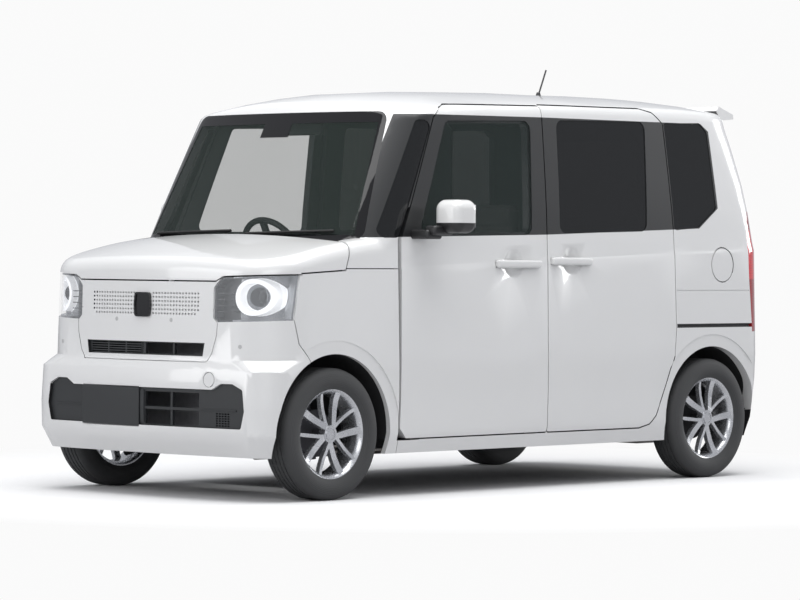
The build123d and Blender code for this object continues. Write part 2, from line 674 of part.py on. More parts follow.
def rim_solid():
    """A rim about the X axis, its outer face towards +X."""
    barrel = ((191, 64), (191, 58), (182, 56), (178, 50), (178, -50), (182, -56), (191, -58), (191, -64),
              (184, -64), (172, -46), (166, 10), (172, 46), (184, 60))
    rim = turned(barrel, 0, 0).moved(Location((0, 0, -TYRE_RADIUS)))
    hub = rod((22, 0, 0), (56, 0, 0), 37)
    cap = ring((54, 0, 0), (60, 0, 0), 27, 23) + rod((54, 0, 0), (58.5, 0, 0), 22)
    bore = rod((20, 0, 0), (40, 0, 0), 20)
    bars = [bar.rotate(Axis.X, 72 * turn) for bar in spoke_pair() for turn in range(5)]
    return largest(rim.fuse(hub, cap, *bars) - bore)


def tyre_solid():
    """A tyre about the X axis, with four grooves round its tread."""
    half = TYRE_WIDTH / 2
    profile = [(178, -52), (190, -64), (215, -half), (240, -half), (262, -half + 5), (274, -half + 16)]
    edge = half - 30
    profile.append((TYRE_RADIUS, -edge))
    for middle in (-33, -11, 11, 33):
        profile += [(TYRE_RADIUS, middle - 3), (TYRE_RADIUS - 6, middle - 2), (TYRE_RADIUS - 6, middle + 2),
                    (TYRE_RADIUS, middle + 3)]
    profile.append((TYRE_RADIUS, edge))
    profile += [(274, half - 16), (262, half - 5), (240, half), (215, half), (190, 64), (178, 52)]
    return turned(profile, 0, 0).moved(Location((0, 0, -TYRE_RADIUS)))


def wheels():
    pieces = {}
    rim = rim_solid()
    tyre = tyre_solid() - rim
    for end, axle_y in (("front", FRONT_AXLE_Y), ("rear", REAR_AXLE_Y)):
        place = Location((WHEEL_X, axle_y, TYRE_RADIUS))
        for name, solid in (("rim", rim), ("tyre", tyre)):
            left = solid.moved(place)
            pieces[f"{name}_{end}_left"] = [left]
            pieces[f"{name}_{end}_right"] = [other_side(left)]
    return pieces


def knuckle_left():
    """Upright, stub axle and strut, which turn together about the leaning kingpin."""
    z = TYRE_RADIUS
    y = FRONT_AXLE_Y
    top = 520.0
    lean = KINGPIN_LEAN
    stub = rod((560, y, z), (WHEEL_X + 39.7, y, z), 19.7)
    drum = rod((562, y, z), (618, y, z), 100)
    strut = rod((KINGPIN_X - lean * 60, y, z + 60), (KINGPIN_X - lean * 331.8, y, z + 331.8), 20)
    foot = rod((KINGPIN_X + lean * 110, y, z - 110), (KINGPIN_X - lean * 80, y, z + 80), 16)
    return [joined([stub, drum, strut, foot])]


def rear_axle():
    y = REAR_AXLE_Y
    z = TYRE_RADIUS
    beam = block(-560, 560, y - 190, y - 130, 230, 290)
    pieces = [beam]
    for side in (-1, 1):
        arm = block(min(side * 440, side * 486), max(side * 440, side * 486), y - 420, y + 30, 240, 300)
        pieces.append(arm)
        pieces.append(rod((side * 450, y, z), (side * (WHEEL_X + 39.7), y, z), 19.7))
        pieces.append(rod((side * 540, y, z), (side * 618, y, z), 100))
    return [joined(pieces)]


def floor_pan():
    """Floor, firewall, rails and the housings over the wheels."""
    inside = FORMS.cabin(WALL)
    plate = block(-900, 900, SPLIT_Y, REAR_FLOOR_Y, FLOOR_Z - FLOOR_THICKNESS, FLOOR_Z)
    riser = block(-900, 900, REAR_FLOOR_Y - 12, REAR_FLOOR_Y, FLOOR_Z - FLOOR_THICKNESS, REAR_FLOOR_Z)
    deck = block(-900, 900, REAR_FLOOR_Y - 12, 1640, REAR_FLOOR_Z - FLOOR_THICKNESS, REAR_FLOOR_Z)
    plate = inside & joined([plate, riser, deck])
    wall = inside & block(-900, 900, SPLIT_Y, SPLIT_Y + 12, FLOOR_Z - FLOOR_THICKNESS, 1040)
    rails = [block(side * 366 - 34, side * 366 + 34, -1640, SPLIT_Y, 380, 450) for side in (-1, 1)]
    houses = []
    low = REAR_FLOOR_Z - FLOOR_THICKNESS
    rows = ((FRONT_AXLE_Y, 400.0, FORMS.nose(SKIN), 245.0), (REAR_AXLE_Y, 492.0, inside, low))
    for axle_y, inner, form, bottom in rows:
        for side in (-1, 1):
            start = (side * inner, axle_y, TYRE_RADIUS)
            drum = rod(start, (side * 800, axle_y, TYRE_RADIUS), ARCH_RADIUS + 8)
            houses.append(drum & form & block(-900, 900, -2000, 2000, bottom, 900))
    pan = joined([plate, wall] + rails + houses)
    pan = cut(pan, wheel_wells() + both_sides(door_relief()) + both_sides(pillar()))
    return [largest(pan)]


def front_subframe():
    y = FRONT_AXLE_Y
    beam = block(-380, 380, y - 60, y + 60, 190, 240)
    arms = []
    for side in (-1, 1):
        arms.append(rod((side * 360, y, 210), (side * 564, y, 148), 14))
        arms.append(block(side * 366 - 20, side * 366 + 20, y - 30, y + 30, 200, 380))
    return [joined([beam] + arms)]


def engine_block():
    return [softened(block(-250, 250, -1470, -1060, 240, 760), 30)]


def fuel_tank():
    return [softened(block(-440, 120, 330, 700, 145, FLOOR_Z - FLOOR_THICKNESS), 20)]


def exhaust():
    pipe = rod((180, -1180, 165), (180, 1400, 165), 20)
    box = softened(block(60, 300, 1250, 1540, 140, 230), 30)
    tail = rod((180, 1500, 163), (180, 1665, 163), 18)
    stays = [block(172, 188, y, y + 20, 175, FLOOR_Z - FLOOR_THICKNESS) for y in (-700, 100, 600)]
    stays += [block(172, 188, y, y + 20, 175, REAR_FLOOR_Z - FLOOR_THICKNESS) for y in (1300, 1500)]
    return [joined([pipe, box, tail] + stays)]


# Cabin.
def dashboard():
    outline = ((-846, 700), (-846, 1060), (-800, 1092), (-690, 1086), (-620, 1040), (-640, 860), (-760, 700))
    dash = FORMS.cabin(CLEAR_WALL) & side_prism(outline, 14, start=-640, stop=640)
    dash = cut(dash, both_sides(door_relief()))
    column = rod((-360, -700, 950), (-360, -556, 1019), 26)
    return [largest(dash + column)]


def steering_wheel():
    tilt = Vector(0, 0.902, 0.432).normalized()
    centre = Vector(-360, -540, 1027)
    plane = Plane(origin=centre, z_dir=tilt)
    rim = Solid.make_torus(176, 14, plane)
    hub = Solid.make_cylinder(52, 34, plane.offset(-17))
    bars = [block(-172, 172, -16, 16, -8, 8), block(-14, 14, -172, 0, -8, 8)]
    bars = [bar.moved(plane.location) for bar in bars]
    return [joined([rim, hub] + bars)]


def front_seats():
    seat = softened(block(-235, 235, -390, 110, 400, 560), 40)
    back = softened(block(-230, 230, 0, 110, 0, 620), 40).rotate(Axis.X, -12).moved(Location((0, 70, 500)))
    rest = softened(block(-130, 130, 0, 90, 0, 200), 35).moved(Location((0, 200, 1085)))
    base = block(-170, 170, -330, 60, FLOOR_Z, 420)
    whole = joined([seat, back, rest, base])
    return [whole.moved(Location((side * 345, -60, 0))) for side in (-1, 1)]


def rear_seat():
    cushion = softened(block(-480, 480, 770, 1240, REAR_FLOOR_Z, 560), 40)
    back = softened(block(-480, 480, 0, 100, 0, 640), 40).rotate(Axis.X, -14).moved(Location((0, 1190, 480)))
    rests = [softened(block(x - 120, x + 120, 1335, 1415, 1080, 1240), 30) for x in (-260, 260)]
    return [joined([cushion, back] + rests)]


def interior_mirror():
    glass = softened(block(-110, 110, -30, 0, 0, 60), 12)
    mirror_body = glass.moved(Location((0, -690, 1560)))
    stem = rod((0, -700, 1600), (0, -760, 1660), 9)
    return [(mirror_body + stem) & FORMS.cabin(WALL)]


def antenna():
    mast = rod((0, 850, 1780), (0, 910, 1915), 4)
    foot = Solid.make_cone(16, 8, 26, Plane(origin=(0, 856, 1782)))
    return [largest((mast + foot) - FORMS.cabin(0))]


def door_mirror_left():
    """Mirror head on its foot, with a shallow step where the glass sits."""
    head = softened(block(790, 943, -725, -588, 1128, 1272), 44)
    glass = softened(block(806, 928, -592, -500, 1146, 1256), 20)
    foot = softened(block(712, 822, -786, -690, 1102, 1142), 12)
    neck = softened(block(786, 850, -770, -650, 1118, 1160), 14)
    return [largest((joined([head, foot, neck]) - glass) - FORMS.cabin(0))]


def wipers():
    blades = []
    for start, stop, pivot in ((-560, -40, 60), (60, 540, 600)):
        reach = (stop - start) / 4
        spots = [windscreen_point(start + reach * step, 1118 + 3 * step, 9) for step in range(5)]
        bars = [rod(spots[step], spots[step + 1], 6) for step in range(4)]
        bars += [Solid.make_sphere(6, angle1=-90).moved(Location(spot)) for spot in spots[1:4]]
        blades.append(joined(bars))
    return blades


def rear_wiper():
    return [rod((0, 1688, 1176), (-300, 1684, 1190), 6)]


# Writing the nodes.
def all_pieces():
    """Every node's solids, by node name."""
    pieces = {}
    door, glass = door_pieces(FRONT_DOOR, FRONT_WINDOW, FRONT_HANDLE)
    slide, slide_glass = door_pieces(SLIDING_DOOR, SLIDING_WINDOW, SLIDING_HANDLE)
    gate, gate_glass, rear_plate = tailgate()
    windscreen = windscreen_parts()
    quarters = quarter_sets()
    lamp_covers, lamp_units = headlamps()
    pieces["body_shell"] = [body_shell(list(windscreen), quarters)]
    pieces["floor_pan"] = floor_pan()
    pieces["front_bumper"] = front_bumper()
    zone = rear_bumper_zone()
    bumper = cut(wall_of(FORMS.cabin, 0, SKIN) & zone, [arch_tool(REAR_AXLE_Y)] + arch_lips(REAR_AXLE_Y))
    pieces["rear_bumper"] = [largest(bumper)]
    pieces["front_fenders"] = front_fenders()
    pieces["grille_panel"] = grille_panel()
    pieces["nose_badge"] = nose_badge()
    pieces["lower_grille"] = lower_grille()
    pieces["headlamps"] = lamp_covers
    pieces["headlamp_units"] = lamp_units
    lamp = largest(tail_lamp_zone() & wall_of(FORMS.cabin, 0, SKIN))
    pieces["tail_lamps"] = both_sides(lamp)
    pieces["windscreen"] = [windscreen[0]]
    pieces["quarter_glass"] = [solid for pane, _, _ in quarters for solid in both_sides(pane)]
    pieces["slide_rails"] = slide_rails()
    pieces["cowl"] = cowl()
    pieces["wipers"] = wipers()
    pieces["dashboard"] = dashboard()
    pieces["front_seats"] = front_seats()
    pieces["rear_seat"] = rear_seat()
    pieces["interior_mirror"] = interior_mirror()
    pieces["engine_block"] = engine_block()
    pieces["fuel_tank"] = fuel_tank()
    pieces["exhaust"] = exhaust()
    pieces["rear_axle"] = rear_axle()
    pieces["front_subframe"] = front_subframe()
    pieces["antenna"] = antenna()
    pieces["sliding_doors"] = both_sides(largest(slide))
    pieces["sliding_door_glass"] = both_sides(slide_glass)
    pieces["sliding_door_handles"] = both_sides(handle_bar(SLIDING_HANDLE))
    pieces["bonnet"] = bonnet()
    pieces["tailgate"] = gate
    pieces["tailgate_glass"] = gate_glass
    pieces["rear_plate"] = rear_plate
    pieces["rear_wiper"] = rear_wiper()
    pieces["fuel_lid"] = fuel_lid()
    pieces["steering_wheel"] = steering_wheel()
    for name, solids in (("front_door", [largest(door)]), ("front_door_glass", [glass]),
                         ("door_mirror", door_mirror_left()), ("door_handle", [handle_bar(FRONT_HANDLE)]),
                         ("knuckle", knuckle_left())):
        pieces[name + "_left"] = solids
        pieces[name + "_right"] = [other_side(solid) for solid in solids]
    pieces.update(wheels())
    return pieces


def write_nodes(pieces):
    os.makedirs("parts", exist_ok=True)
    for name, solids in pieces.items():
        parts = [solid for shape in solids for solid in shape.solids()]
        whole = parts[0] if len(parts) == 1 else Compound(children=parts)
        whole.label = name
        export_step(whole, f"parts/{name}.step")
        print(name, len(parts), round(sum(part.volume for part in parts) / 1e6, 2), "litres")


write_nodes(all_pieces())
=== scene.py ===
import json
import math

import bmesh
import bpy
from mathutils import Matrix, Vector
from mathutils.bvhtree import BVHTree


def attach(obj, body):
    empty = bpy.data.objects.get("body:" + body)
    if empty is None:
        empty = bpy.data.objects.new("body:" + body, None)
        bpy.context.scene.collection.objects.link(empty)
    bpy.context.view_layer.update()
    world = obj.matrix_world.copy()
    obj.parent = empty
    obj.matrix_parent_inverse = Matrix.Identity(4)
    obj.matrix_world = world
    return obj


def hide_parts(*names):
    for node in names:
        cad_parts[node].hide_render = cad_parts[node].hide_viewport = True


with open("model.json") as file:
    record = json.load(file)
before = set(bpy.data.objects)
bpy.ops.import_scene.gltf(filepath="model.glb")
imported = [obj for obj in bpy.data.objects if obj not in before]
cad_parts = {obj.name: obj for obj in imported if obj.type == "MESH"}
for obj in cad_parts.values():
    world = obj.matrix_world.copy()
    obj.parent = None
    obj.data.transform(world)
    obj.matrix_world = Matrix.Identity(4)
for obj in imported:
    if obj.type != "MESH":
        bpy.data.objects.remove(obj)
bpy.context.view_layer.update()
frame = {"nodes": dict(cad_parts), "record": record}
nodes = frame["nodes"]
bodyOf = {}
for bodyName, members in frame["record"]["behaviour"]["bodies"].items():
    for member in members:
        bodyOf[member] = bodyName
print("stage: frame loaded")


class Signal:
    # a socket that can be used in plain arithmetic
    def __init__(self, sheet, socket):
        self.sheet = sheet
        self.socket = socket

    def maths(self, operation, other=None, flip=False):
        node = self.sheet.tree.nodes.new("ShaderNodeMath")
        node.operation = operation
        pair = [self, other] if not flip else [other, self]
        for slot, value in enumerate(pair):
            if value is None:
                continue
            self.sheet.feed(node.inputs[slot], value)
        return Signal(self.sheet, node.outputs[0])

    def __add__(self, other):
        return self.maths("ADD", other)

    def __radd__(self, other):
        return self.maths("ADD", other, True)

    def __sub__(self, other):
        return self.maths("SUBTRACT", other)

    def __rsub__(self, other):
        return self.maths("SUBTRACT", other, True)

    def __mul__(self, other):
        return self.maths("MULTIPLY", other)

    def __rmul__(self, other):
        return self.maths("MULTIPLY", other, True)

    def __truediv__(self, other):
        return self.maths("DIVIDE", other)

    def __gt__(self, other):
        return self.maths("GREATER_THAN", other)

    def __lt__(self, other):
        return self.maths("LESS_THAN", other)

    def orMore(self, other):
        return self.maths("MAXIMUM", other)

    def orLess(self, other):
        return self.maths("MINIMUM", other)

    def size(self):
        return self.maths("ABSOLUTE")


class Sheet:
    # one material's node tree
    def __init__(self, name):
        self.material = bpy.data.materials.new(name)
        self.material.use_nodes = True
        self.tree = self.material.node_tree
        self.tree.nodes.clear()
        self.end = self.tree.nodes.new("ShaderNodeOutputMaterial")

    def feed(self, slot, value):
        if isinstance(value, Signal):
            self.tree.links.new(value.socket, slot)
        elif isinstance(value, (tuple, list)) and len(value) == 3 and slot.type == "RGBA":
            slot.default_value = (*value, 1.0)
        else:
            slot.default_value = value

    def add(self, kind, settings=None, values=None, out=0):
        node = self.tree.nodes.new(kind)
        for key, value in (settings or {}).items():
            setattr(node, key, value)
        for key, value in (values or {}).items():
            self.feed(node.inputs[key], value)
        return Signal(self, node.outputs[out])

    def place(self):
        return self.add("ShaderNodeTexCoord", out="Object")

    def noise(self, scale, detail=3.0):
        values = {"Vector": self.place(), "Scale": scale, "Detail": detail}
        return self.add("ShaderNodeTexNoise", values=values)

    def blend(self, factor, first, second):
        node = self.tree.nodes.new("ShaderNodeMix")
        node.data_type = "RGBA"
        self.feed(node.inputs[0], factor)
        self.feed(node.inputs[6], first)
        self.feed(node.inputs[7], second)
        return Signal(self, node.outputs[2])

    def bump(self, height, strength, distance):
        values = {"Height": height, "Strength": strength, "Distance": distance}
        return self.add("ShaderNodeBump", values=values)

    def surface(self, values):
        shader = self.add("ShaderNodeBsdfPrincipled", values=values)
        self.tree.links.new(shader.socket, self.end.inputs["Surface"])
        return self.material

    def show(self, shader):
        self.tree.links.new(shader.socket, self.end.inputs["Surface"])
        return self.material


grainSpec = {"depth": 0.0006, "rough": 0.04, "coatRough": 0.03}


def tinted(name, colour, roughness, spread=0.03, scale=60.0, metallic=0.0, coat=0.0, bump=0.0):
    # one colour with a fine grain in its tint, its gloss and, where asked, its surface
    sheet = Sheet(name)
    grain = sheet.noise(scale)
    darker = tuple(part * (1.0 - spread) for part in colour)
    lighter = tuple(min(1.0, part * (1.0 + spread)) for part in colour)
    values = {"Base Color": sheet.blend(grain, darker, lighter),
              "Roughness": roughness + (grain - 0.5) * grainSpec["rough"],
              "Metallic": metallic, "Coat Weight": coat, "Coat Roughness": grainSpec["coatRough"]}
    if bump:
        values["Normal"] = sheet.bump(grain, bump, grainSpec["depth"])
    return sheet.surface(values)


def sidePlace(sheet):
    # across, along and height of a point, the first without its sign
    split = sheet.tree.nodes.new("ShaderNodeSeparateXYZ")
    sheet.feed(split.inputs[0], sheet.place())
    across, along, height = (Signal(sheet, split.outputs[axis]) for axis in range(3))
    return across.size(), along, height


def insideOf(along, height, outline):
    # one inside a convex outline given clockwise as (along, height), nought outside it
    mask = 1.0
    for (y0, z0), (y1, z1) in zip(outline, outline[1:] + outline[:1]):
        run, rise = y1 - y0, z1 - z0
        side = (along - y0) * rise - (height - z0) * run
        mask = (side > 0.0) * mask
    return mask


paintSpec = {
    "low": (0.70, 0.70, 0.69), "high": (0.73, 0.73, 0.725), "driftScale": 3.0,
    "flake": (0.80, 0.81, 0.82), "flakeShare": 0.25, "flakeScale": 900.0, "flakeRough": 0.08,
    "rough": 0.32, "metallic": 0.05, "coatRough": 0.05,
    "bandColour": (0.016, 0.017, 0.018), "bandRough": 0.36, "bandCoatLoss": 0.8, "bandFrom": 0.60,
    "band": [(-1.150, 1.104), (-1.150, 1.400), (-0.905, 1.648), (0.100, 1.652), (0.960, 1.662),
             (1.216, 1.664), (1.282, 1.622), (1.324, 1.262), (1.180, 1.166), (0.100, 1.128)],
}


def pearlPaint(banded=False):
    # three-layer white, with the dark band that runs round the side windows
    spec = paintSpec
    sheet = Sheet("pearlWhiteBanded" if banded else "pearlWhitePaint")
    flakes = sheet.noise(spec["flakeScale"], 1.0)
    drift = sheet.noise(spec["driftScale"], 2.0)
    base = sheet.blend(drift, spec["low"], spec["high"])
    colour = sheet.blend(flakes * spec["flakeShare"], base, spec["flake"])
    rough = spec["rough"] + flakes * spec["flakeRough"]
    coat = 1.0
    if banded:
        across, along, height = sidePlace(sheet)
        band = insideOf(along, height, spec["band"]) * (across > spec["bandFrom"])
        colour = sheet.blend(band, colour, spec["bandColour"])
        rough = rough * (1.0 - band) + band * spec["bandRough"]
        coat = 1.0 - band * spec["bandCoatLoss"]
    return sheet.surface({"Base Color": colour, "Roughness": rough, "Metallic": spec["metallic"],
                          "Coat Weight": coat, "Coat Roughness": spec["coatRough"]})


mirrorShellSpec = {"capFrom": 1.172, "headFrom": 0.786, "white": (0.72, 0.72, 0.71),
                   "black": (0.014, 0.014, 0.015), "rough": 0.33, "blackRough": 0.12, "blackCoatLoss": 0.8,
                   "coatRough": 0.05}


def mirrorShell():
    # white cap over a black lower half and foot
    spec = mirrorShellSpec
    sheet = Sheet("mirrorShell")
    across, along, height = sidePlace(sheet)
    low = (height < spec["capFrom"]).orMore(across < spec["headFrom"])
    colour = sheet.blend(low, spec["white"], spec["black"])
    return sheet.surface({"Base Color": colour, "Roughness": spec["rough"] + low * spec["blackRough"],
                          "Coat Weight": 1.0 - low * spec["blackCoatLoss"],
                          "Coat Roughness": spec["coatRough"]})


lampUnitSpec = {"centre": (0.590, 0.853), "ring": (0.056, 0.079), "pupil": 0.040, "ribsTo": 0.508,
                "tray": (0.36, 0.37, 0.385), "dark": (0.035, 0.037, 0.04), "bright": (0.92, 0.93, 0.94),
                "glow": (0.75, 0.76, 0.78), "glowStrength": 0.55, "coat": 0.6}


def lampUnit():
    # bright ring round a dark projector, in a silver tray whose inner end is dark
    spec = lampUnitSpec
    sheet = Sheet("lampUnit")
    across, along, height = sidePlace(sheet)
    sideways, upward = across - spec["centre"][0], height - spec["centre"][1]
    reach = (sideways * sideways + upward * upward).maths("SQRT")
    ring = (reach > spec["ring"][0]) * (reach < spec["ring"][1])
    dark = (across < spec["ribsTo"]).orMore(reach < spec["pupil"])
    colour = sheet.blend(dark, spec["tray"], spec["dark"])
    colour = sheet.blend(ring, colour, spec["bright"])
    glow = sheet.blend(ring, (0.0, 0.0, 0.0), spec["glow"])
    return sheet.surface({"Base Color": colour, "Roughness": 0.20 + ring * 0.25 + dark * 0.02,
                          "Metallic": 0.75 - ring * 0.7 - dark * 0.5, "Emission Color": glow,
                          "Emission Strength": spec["glowStrength"], "Coat Weight": spec["coat"]})


tailLensSpec = {"bar": (0.93, 1.16), "deep": (0.30, 0.006, 0.010), "lit": (0.62, 0.02, 0.03),
                "rib": (0.12, 0.004, 0.006), "ribTurns": 520.0, "ribShare": 0.25, "glowStrength": 0.10,
                "coatRough": 0.03}


def tailLens():
    # ribbed red lens with a brighter bar down its middle
    spec = tailLensSpec
    sheet = Sheet("tailLens")
    across, along, height = sidePlace(sheet)
    ribs = (height * spec["ribTurns"]).maths("SINE") * 0.5 + 0.5
    bar = (height > spec["bar"][0]) * (height < spec["bar"][1])
    colour = sheet.blend(bar, spec["deep"], spec["lit"])
    colour = sheet.blend(ribs * spec["ribShare"], colour, spec["rib"])
    return sheet.surface({"Base Color": colour, "Roughness": 0.10 + ribs * 0.05, "Coat Weight": 1.0,
                          "Coat Roughness": spec["coatRough"], "Emission Color": colour,
                          "Emission Strength": spec["glowStrength"]})


tyreSpec = {"frontAxle": -1.2525, "wheelbase": 2.52, "axleHeight": 0.2785, "ringTurns": 900.0,
            "ringsFrom": 0.205, "ringsTo": 0.258, "grainScale": 300.0, "grainShare": 0.3,
            "low": (0.040, 0.041, 0.042), "high": (0.058, 0.059, 0.060), "strength": 0.35, "depth": 0.0012}


def tyreRubber():
    # sidewall rings that follow the wheel, on a matt rubber
    spec = tyreSpec
    sheet = Sheet("tyreRubber")
    across, along, height = sidePlace(sheet)
    centre = (along > 0.0) * spec["wheelbase"] + spec["frontAxle"]
    forward, upward = along - centre, height - spec["axleHeight"]
    reach = (forward * forward + upward * upward).maths("SQRT")
    rings = (reach * spec["ringTurns"]).maths("SINE") * 0.5 + 0.5
    grain = sheet.noise(spec["grainScale"])
    lift = rings * (reach > spec["ringsFrom"]) * (reach < spec["ringsTo"]) + grain * spec["grainShare"]
    worn = sheet.blend(grain, spec["low"], spec["high"])
    return sheet.surface({"Base Color": worn, "Roughness": 0.68 + grain * 0.1,
                          "Normal": sheet.bump(lift, spec["strength"], spec["depth"])})


fritSpec = {"top": 1.606, "bottom": 1.118, "halfAtBase": 0.6535, "base": 1.092, "lean": 0.1624,
            "width": 0.018, "patchHalf": 0.085, "patchFrom": 1.545, "colour": (0.008, 0.008, 0.009),
            "scale": 2.0, "film": 0.01, "rough": 0.03, "bend": 1.45}


def glass(name, colour, shade, fritted=False):
    # a thin pane seen through by its alpha, with a black printed border where it has one
    spec = fritSpec
    sheet = Sheet(name)
    film = sheet.noise(spec["scale"]) * spec["film"]
    alpha = shade + film
    tone = colour
    if fritted:
        across, along, height = sidePlace(sheet)
        edge = (height > spec["top"]).orMore(height < spec["bottom"])
        side = spec["halfAtBase"] - spec["width"] - (height - spec["base"]) * spec["lean"]
        edge = edge.orMore(across > side)
        edge = edge.orMore((across < spec["patchHalf"]) * (height > spec["patchFrom"]))
        tone = sheet.blend(edge, colour, spec["colour"])
        alpha = alpha * (1.0 - edge) + edge
    return sheet.surface({"Base Color": tone, "Roughness": spec["rough"] + film, "IOR": spec["bend"],
                          "Alpha": alpha})


finishes = {
    "paint": pearlPaint(),
    "bandedPaint": pearlPaint(True),
    "mirrorShell": mirrorShell(),
    "lampUnit": lampUnit(),
    "blackTrim": tinted("blackTrim", (0.018, 0.018, 0.020), 0.45, bump=0.1),
    "intakeTrim": tinted("intakeTrim", (0.022, 0.024, 0.026), 0.42, bump=0.08),
    "glossBlack": tinted("glossBlack", (0.010, 0.010, 0.011), 0.12, coat=0.6),
    "darkPlastic": tinted("darkPlastic", (0.030, 0.030, 0.032), 0.62, bump=0.25, scale=400.0),
    "innerTrim": tinted("innerTrim", (0.085, 0.085, 0.087), 0.80, bump=0.2, scale=500.0),
    "underCoat": tinted("underCoat", (0.012, 0.012, 0.013), 0.75, spread=0.15, bump=0.3),
    "castMetal": tinted("castMetal", (0.10, 0.10, 0.11), 0.6, spread=0.15, metallic=0.7, bump=0.3),
    "engineMetal": tinted("engineMetal", (0.2, 0.2, 0.21), 0.55, spread=0.2, metallic=0.6, bump=0.2),
    "steel": tinted("warmSteel", (0.42, 0.40, 0.38), 0.38, spread=0.12, metallic=0.9),
    "alloy": tinted("alloySilver", (0.60, 0.61, 0.63), 0.27, metallic=0.85, coat=0.5),
    "chrome": tinted("chrome", (0.82, 0.83, 0.85), 0.06, spread=0.01, metallic=1.0),
    "rubber": tyreRubber(),
    "sealRubber": tinted("sealRubber", (0.012, 0.012, 0.012), 0.6, bump=0.1),
    "cloth": tinted("seatCloth", (0.052, 0.051, 0.050), 0.92, spread=0.25, scale=900.0, bump=0.5),
    "redLens": tailLens(),
    "windscreen": glass("windscreenGlass", (0.06, 0.08, 0.072), 0.16, True),
    "clearGlass": glass("doorGlass", (0.06, 0.08, 0.075), 0.20),
    "darkGlass": glass("privacyGlass", (0.010, 0.011, 0.012), 0.86),
    "lampCover": glass("lampCover", (0.80, 0.82, 0.84), 0.10),
    "thread": tinted("seatThread", (0.20, 0.19, 0.18), 0.8, spread=0.1, scale=400.0),
    "sensorFace": tinted("sensorFace", (0.45, 0.45, 0.45), 0.4),
    "fritPrint": tinted("fritPrint", (0.010, 0.010, 0.011), 0.6),
    "heaterPrint": tinted("heaterPrint", (0.10, 0.05, 0.03), 0.7),
    "whitePlate": tinted("whitePlate", (0.62, 0.62, 0.60), 0.4),
}
slotFinish = {"paint": "paint", "underbody": "underCoat", "black_plastic": "blackTrim",
              "dark_plastic": "darkPlastic", "seat_cloth": "cloth", "lamp_clear": "lampCover",
              "lamp_silver": "lampUnit", "lamp_red": "redLens", "clear_glass": "clearGlass",
              "dark_glass": "darkGlass", "engine_metal": "engineMetal", "cast_metal": "castMetal",
              "steel": "steel", "alloy": "alloy", "tyre_rubber": "rubber"}
nodeFinish = {"body_shell": "bandedPaint", "front_door_left": "bandedPaint",
              "front_door_right": "bandedPaint", "sliding_doors": "bandedPaint",
              "door_mirror_left": "mirrorShell", "door_mirror_right": "mirrorShell",
              "windscreen": "windscreen", "lower_grille": "intakeTrim", "rear_plate": "whitePlate",
              "nose_badge": "glossBlack", "wipers": "sealRubber", "quarter_glass": "darkGlass"}
for entry in frame["record"]["subparts"]:
    node = nodes[entry["node"]]
    finishName = nodeFinish.get(entry["node"], slotFinish[entry["material_slot"]])
    node.data.materials.clear()
    node.data.materials.append(finishes[finishName])
print("stage: finishes made")


linedPanels = {"body_shell": "innerTrim", "front_door_left": "innerTrim", "front_door_right": "innerTrim",
               "sliding_doors": "innerTrim", "tailgate": "innerTrim", "bonnet": "blackTrim",
               "front_fenders": "blackTrim", "front_bumper": "blackTrim", "rear_bumper": "blackTrim",
               "grille_panel": "blackTrim"}
cabinSpec = {"middle": 0.1, "height": 0.9, "stretch": 0.35, "roofFrom": 1.15, "down": -0.5, "inward": 0.45}


def facesIn(centre, normal):
    # whether a face of a hollow panel looks into the car
    spec = cabinSpec
    along = -(centre.y - spec["middle"]) * spec["stretch"]
    toward = Vector((-centre.x, along, spec["height"] - centre.z))
    if centre.z > spec["roofFrom"] and normal.z < spec["down"]:
        return True
    return normal.dot(toward.normalized()) > spec["inward"]


weldGap = 1e-5
softAngle = math.radians(38.0)


def smoothCopy(nodeName):
    # a welded copy of a CAD node with soft shading across its curves
    source = nodes[nodeName]
    mesh = source.data.copy()
    mesh.name = nodeName + "Skin"
    work = bmesh.new()
    work.from_mesh(mesh)
    bmesh.ops.remove_doubles(work, verts=work.verts, dist=weldGap)
    for face in work.faces:
        face.smooth = True
    for edge in work.edges:
        edge.smooth = len(edge.link_faces) == 2 and edge.calc_face_angle(0.0) < softAngle
    lining = linedPanels.get(nodeName)
    if lining:
        mesh.materials.append(finishes[lining])
        for face in work.faces:
            if facesIn(face.calc_center_median(), face.normal):
                face.material_index = 1
    work.to_mesh(mesh)
    work.free()
    copy = bpy.data.objects.new(nodeName + "Skin", mesh)
    bpy.context.scene.collection.objects.link(copy)
    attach(copy, bodyOf[nodeName])
    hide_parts(nodeName)


softNodes = {"front_seats", "rear_seat"}
for nodeName in list(nodes):
    if nodeName not in softNodes:
        smoothCopy(nodeName)
print("stage: panels smoothed")


def plainObject(name, mesh, body, finish, slot=None):
    # a finished piece of one body
    mesh.materials.clear()
    mesh.materials.append(finishes[finish])
    piece = bpy.data.objects.new(name, mesh)
    bpy.context.scene.collection.objects.link(piece)
    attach(piece, body)
    return piece


def boxMesh(name, low, high):
    work = bmesh.new()
    bmesh.ops.create_cube(work, size=1.0)
    for vert in work.verts:
        for axis in range(3):
            vert.co[axis] = low[axis] if vert.co[axis] < 0 else high[axis]
    bmesh.ops.recalc_face_normals(work, faces=work.faces)
    mesh = bpy.data.meshes.new(name)
    work.to_mesh(mesh)
    work.free()
    return mesh


def evaluated(piece, name):
    # the object's mesh with its modifiers worked in
    graph = bpy.context.evaluated_depsgraph_get()
    mesh = bpy.data.meshes.new_from_object(piece.evaluated_get(graph), depsgraph=graph)
    mesh.name = name
    return mesh


def surfaceOf(*pieces):
    # a search tree over the faces of some meshes
    work = bmesh.new()
    for piece in pieces:
        work.from_mesh(piece.data)
    tree = BVHTree.FromBMesh(work)
    work.free()
    return tree


def castLine(tree, starts, direction, lift):
    # the points where parallel rays meet a surface, lifted off it a little
    path = []
    for start in starts:
        place, normal, _, _ = tree.ray_cast(Vector(start), Vector(direction))
        if place is not None:
            path.append(place + normal * lift)
    return path


